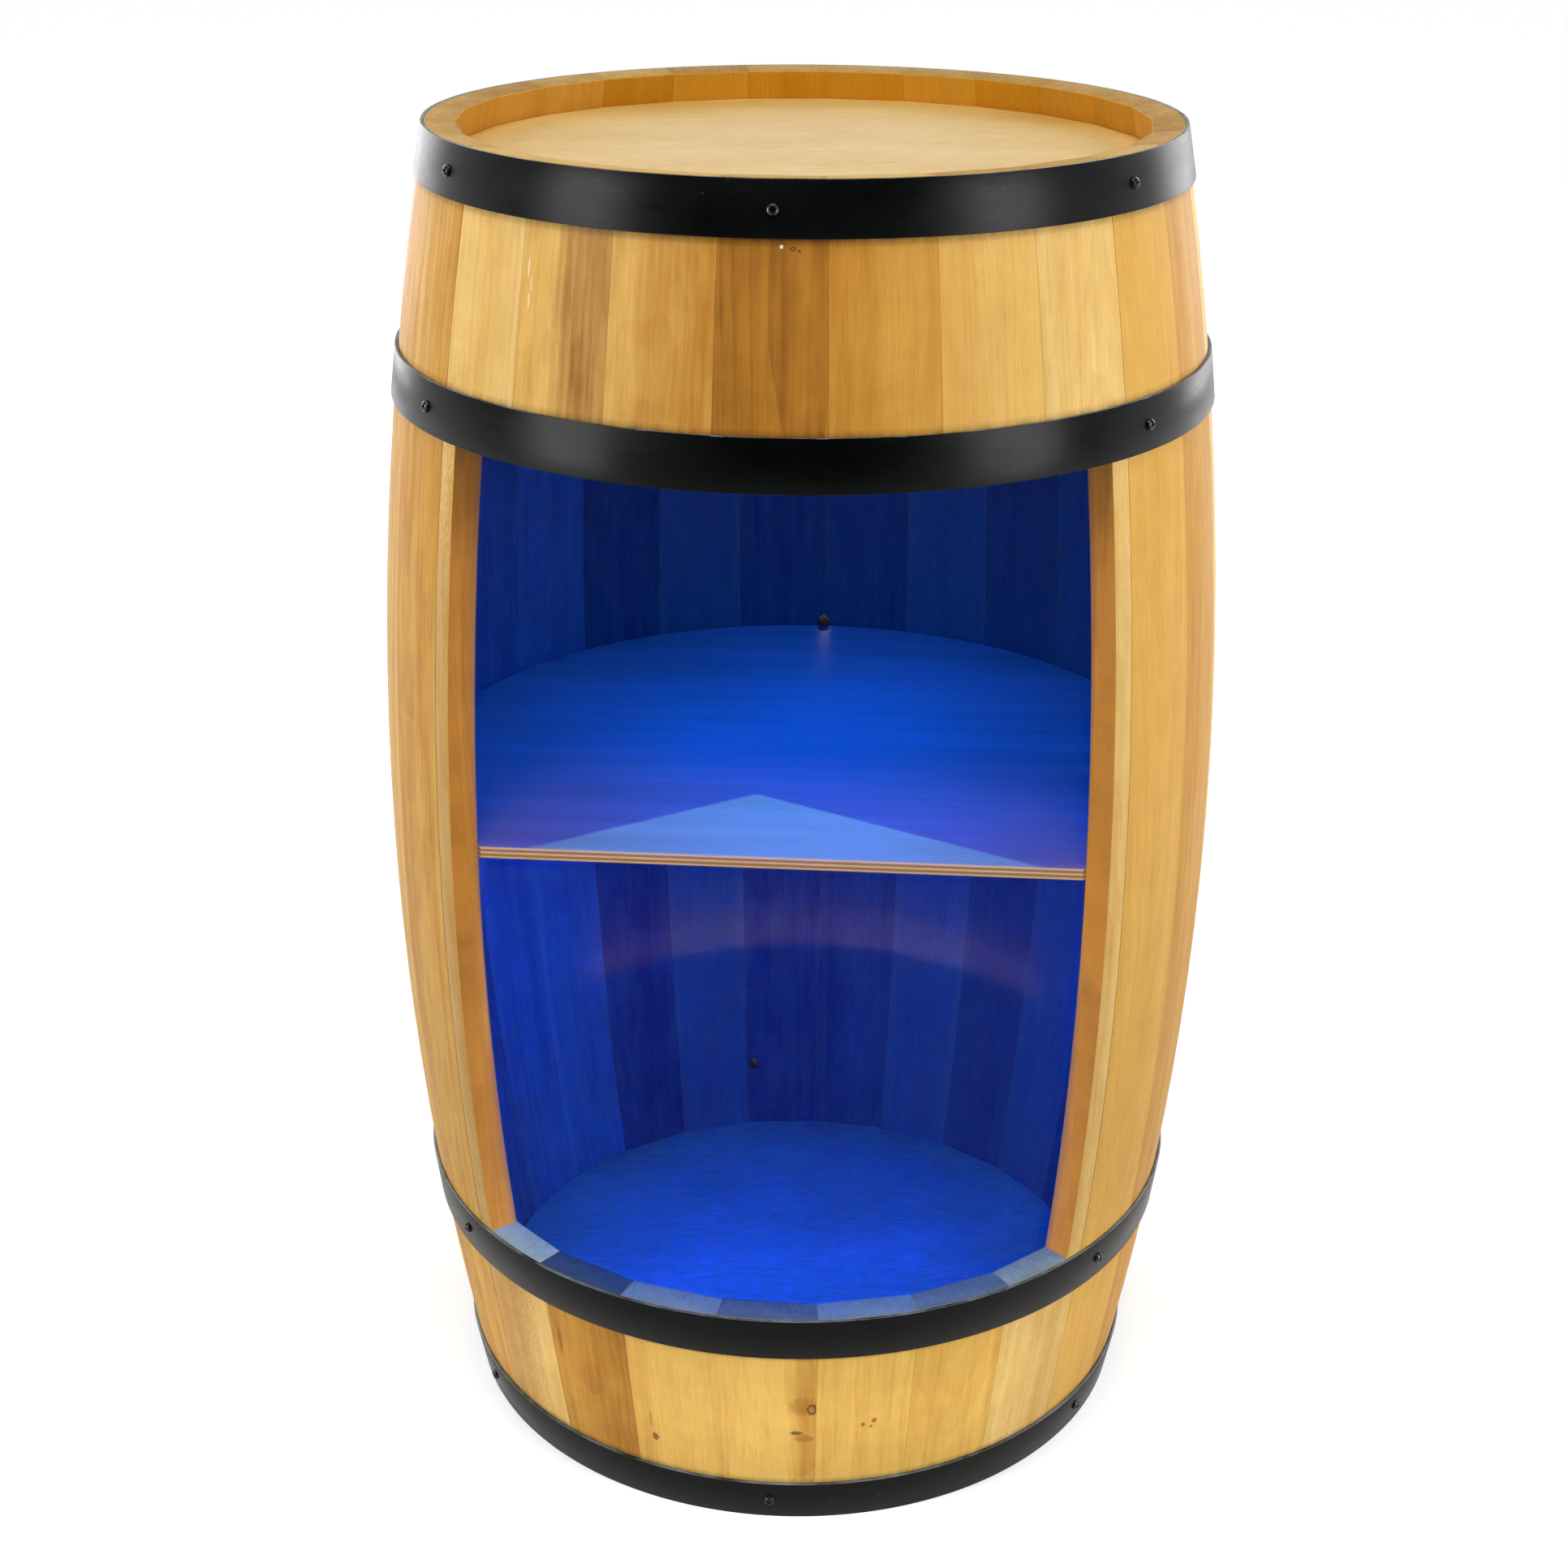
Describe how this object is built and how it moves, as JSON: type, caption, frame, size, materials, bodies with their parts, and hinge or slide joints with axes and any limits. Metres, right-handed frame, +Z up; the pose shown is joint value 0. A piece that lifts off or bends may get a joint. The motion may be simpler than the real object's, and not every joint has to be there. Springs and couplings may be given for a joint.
{
  "type": "barrel bar cabinet",
  "caption": "Barrel-shaped bar cabinet with bowed staves, steel hoops, a recessed tray top, a wide front opening, a shelf and strip lighting inside.",
  "frame": {"origin": "on the ground, under the middle of the cabinet's overall width and depth; the axis of the barrel stands 6 mm in front of it, towards the opening, because the opening takes the widest part out of the front", "axes": "+Z up, the opening faces -Y, +X is to the right of someone who looks into the opening"},
  "size_m": [0.5008, 0.4886, 0.8],
  "materials": {
    "stave_honey": "clear varnished hardwood, honey",
    "stave_amber": "clear varnished hardwood, amber",
    "stave_pale": "clear varnished hardwood, pale",
    "stave_brown": "clear varnished hardwood, brown",
    "stave_gold": "clear varnished hardwood, gold",
    "head_board": "fine speckled board under clear varnish",
    "shelf_ply": "birch plywood under clear varnish, plies bare at the edge",
    "block_wood": "sawn softwood",
    "hoop_steel": "satin black steel strip",
    "screw_steel": "black phosphated steel",
    "led_sleeve": "clear silicone sleeve over lit blue diodes",
    "controller_case": "white moulded case"
  },
  "bodies": {
    "root": {"stave_1": "stave_gold", "stave_2": "stave_honey", "stave_3": "stave_amber", "stave_4": "stave_pale", "stave_5": "stave_brown", "stave_6": "stave_gold", "stave_7": "stave_honey", "stave_8": "stave_amber", "stave_9": "stave_pale", "stave_10": "stave_brown", "stave_11": "stave_gold", "stave_12": "stave_honey", "stave_13": "stave_amber", "stave_14": "stave_pale", "stave_15": "stave_brown", "stave_16": "stave_gold", "stave_17": "stave_honey", "stave_18": "stave_amber", "jamb_stave_left": "stave_pale", "jamb_stave_right": "stave_brown", "short_stave_lower_1": "stave_brown", "short_stave_lower_2": "stave_gold", "short_stave_lower_3": "stave_honey", "short_stave_lower_4": "stave_amber", "short_stave_lower_5": "stave_pale", "short_stave_upper_1": "stave_brown", "short_stave_upper_2": "stave_gold", "short_stave_upper_3": "stave_honey", "short_stave_upper_4": "stave_amber", "short_stave_upper_5": "stave_pale", "hoop_top": "hoop_steel", "hoop_upper": "hoop_steel", "hoop_lower": "hoop_steel", "hoop_bottom": "hoop_steel", "hoop_top_screw_1": "screw_steel", "hoop_top_screw_2": "screw_steel", "hoop_top_screw_3": "screw_steel", "hoop_top_screw_4": "screw_steel", "hoop_top_screw_5": "screw_steel", "hoop_top_screw_6": "screw_steel", "hoop_upper_screw_1": "screw_steel", "hoop_upper_screw_2": "screw_steel", "hoop_lower_screw_1": "screw_steel", "hoop_lower_screw_2": "screw_steel", "hoop_bottom_screw_1": "screw_steel", "hoop_bottom_screw_2": "screw_steel", "hoop_bottom_screw_3": "screw_steel", "hoop_bottom_screw_4": "screw_steel", "hoop_bottom_screw_5": "screw_steel", "hoop_bottom_screw_6": "screw_steel", "top_head": "head_board", "floor_head": "head_board", "shelf": "shelf_ply", "shelf_block_1": "block_wood", "shelf_block_2": "block_wood", "shelf_block_3": "block_wood", "shelf_block_4": "block_wood", "led_strip_upper": "led_sleeve", "led_strip_lower": "led_sleeve", "led_controller": "controller_case"}
  },
  "joints": []
}
